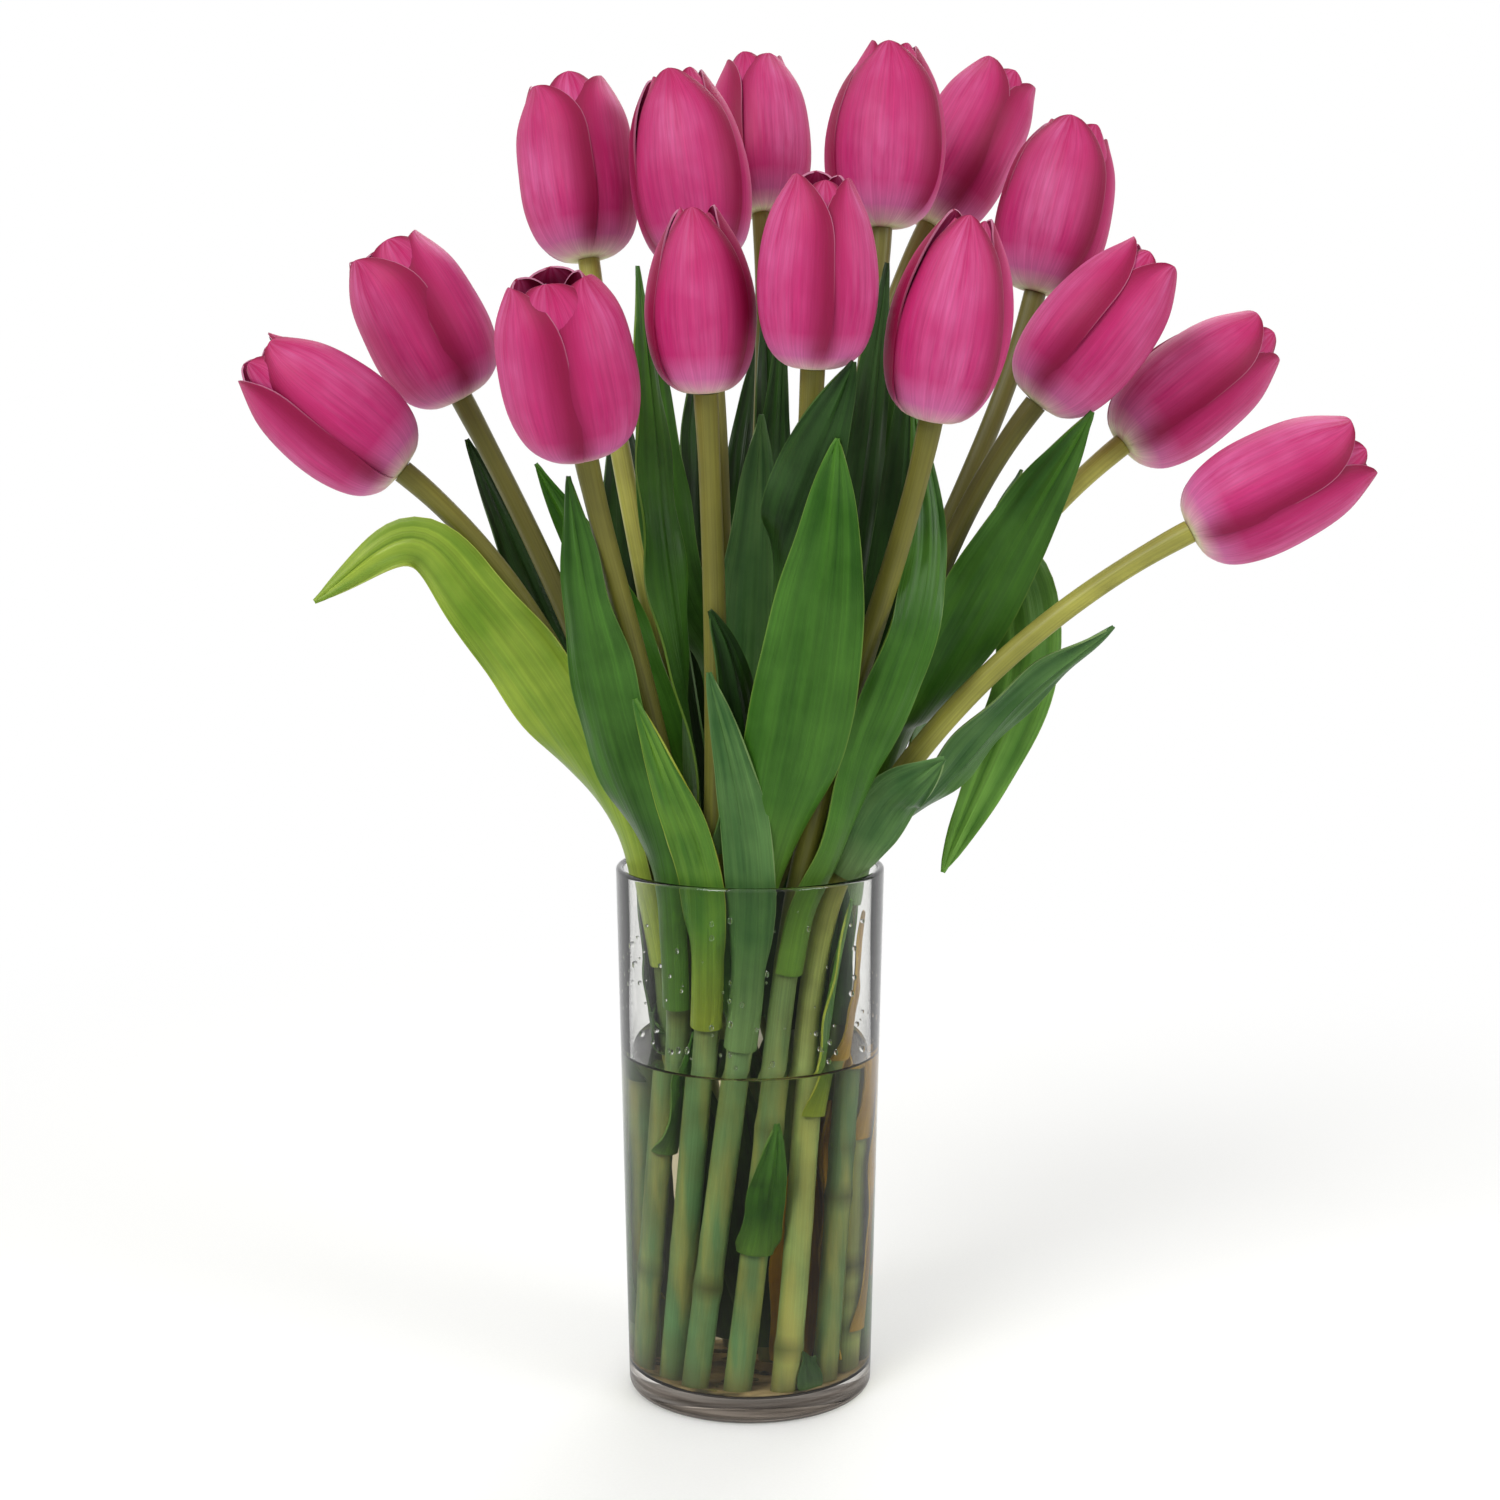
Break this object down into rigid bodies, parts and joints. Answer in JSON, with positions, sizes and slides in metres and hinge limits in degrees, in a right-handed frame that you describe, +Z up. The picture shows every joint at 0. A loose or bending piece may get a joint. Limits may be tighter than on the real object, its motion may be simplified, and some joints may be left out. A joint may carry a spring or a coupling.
{
  "type": "bouquet of tulips in a vase",
  "caption": "Cut pink tulips with green leaves standing in a clear, slightly tapered glass cylinder vase of water.",
  "frame": {"origin": "centre of the vase's flat base, in the plane it stands on", "axes": "+Z up along the vase's axis; -Y the front of the bouquet; +X its right-hand side seen from the front"},
  "size_m": [0.4002, 0.2225, 0.5117],
  "materials": {
    "glass": "clear polished",
    "water": "clear, faintly yellow-green",
    "petal": "satin, lengthwise veins",
    "stem": "smooth, slightly waxy",
    "leaf": "waxy, parallel veins"
  },
  "bodies": {
    "root": {"glass_vase": "glass", "water": "water", "stem_01": "stem", "stem_02": "stem", "stem_03": "stem", "stem_04": "stem", "stem_05": "stem", "stem_06": "stem", "stem_07": "stem", "stem_08": "stem", "stem_09": "stem", "stem_10": "stem", "stem_11": "stem", "stem_12": "stem", "stem_13": "stem", "stem_14": "stem", "stem_15": "stem", "flower_01": "petal", "flower_02": "petal", "flower_03": "petal", "flower_04": "petal", "flower_05": "petal", "flower_06": "petal", "flower_07": "petal", "flower_08": "petal", "flower_09": "petal", "flower_10": "petal", "flower_11": "petal", "flower_12": "petal", "flower_13": "petal", "flower_14": "petal", "flower_15": "petal", "leaf_01": "leaf", "leaf_02": "leaf", "leaf_03": "leaf", "leaf_04": "leaf", "leaf_05": "leaf", "leaf_06": "leaf", "leaf_07": "leaf", "leaf_08": "leaf", "leaf_09": "leaf", "leaf_10": "leaf", "leaf_11": "leaf", "leaf_12": "leaf", "leaf_13": "leaf", "leaf_14": "leaf", "leaf_15": "leaf", "leaf_16": "leaf", "leaf_17": "leaf", "leaf_18": "leaf", "leaf_19": "leaf", "leaf_20": "leaf", "leaf_21": "leaf", "leaf_22": "leaf", "leaf_23": "leaf", "leaf_24": "leaf", "leaf_25": "leaf", "leaf_26": "leaf", "leaf_27": "leaf"}
  },
  "joints": []
}
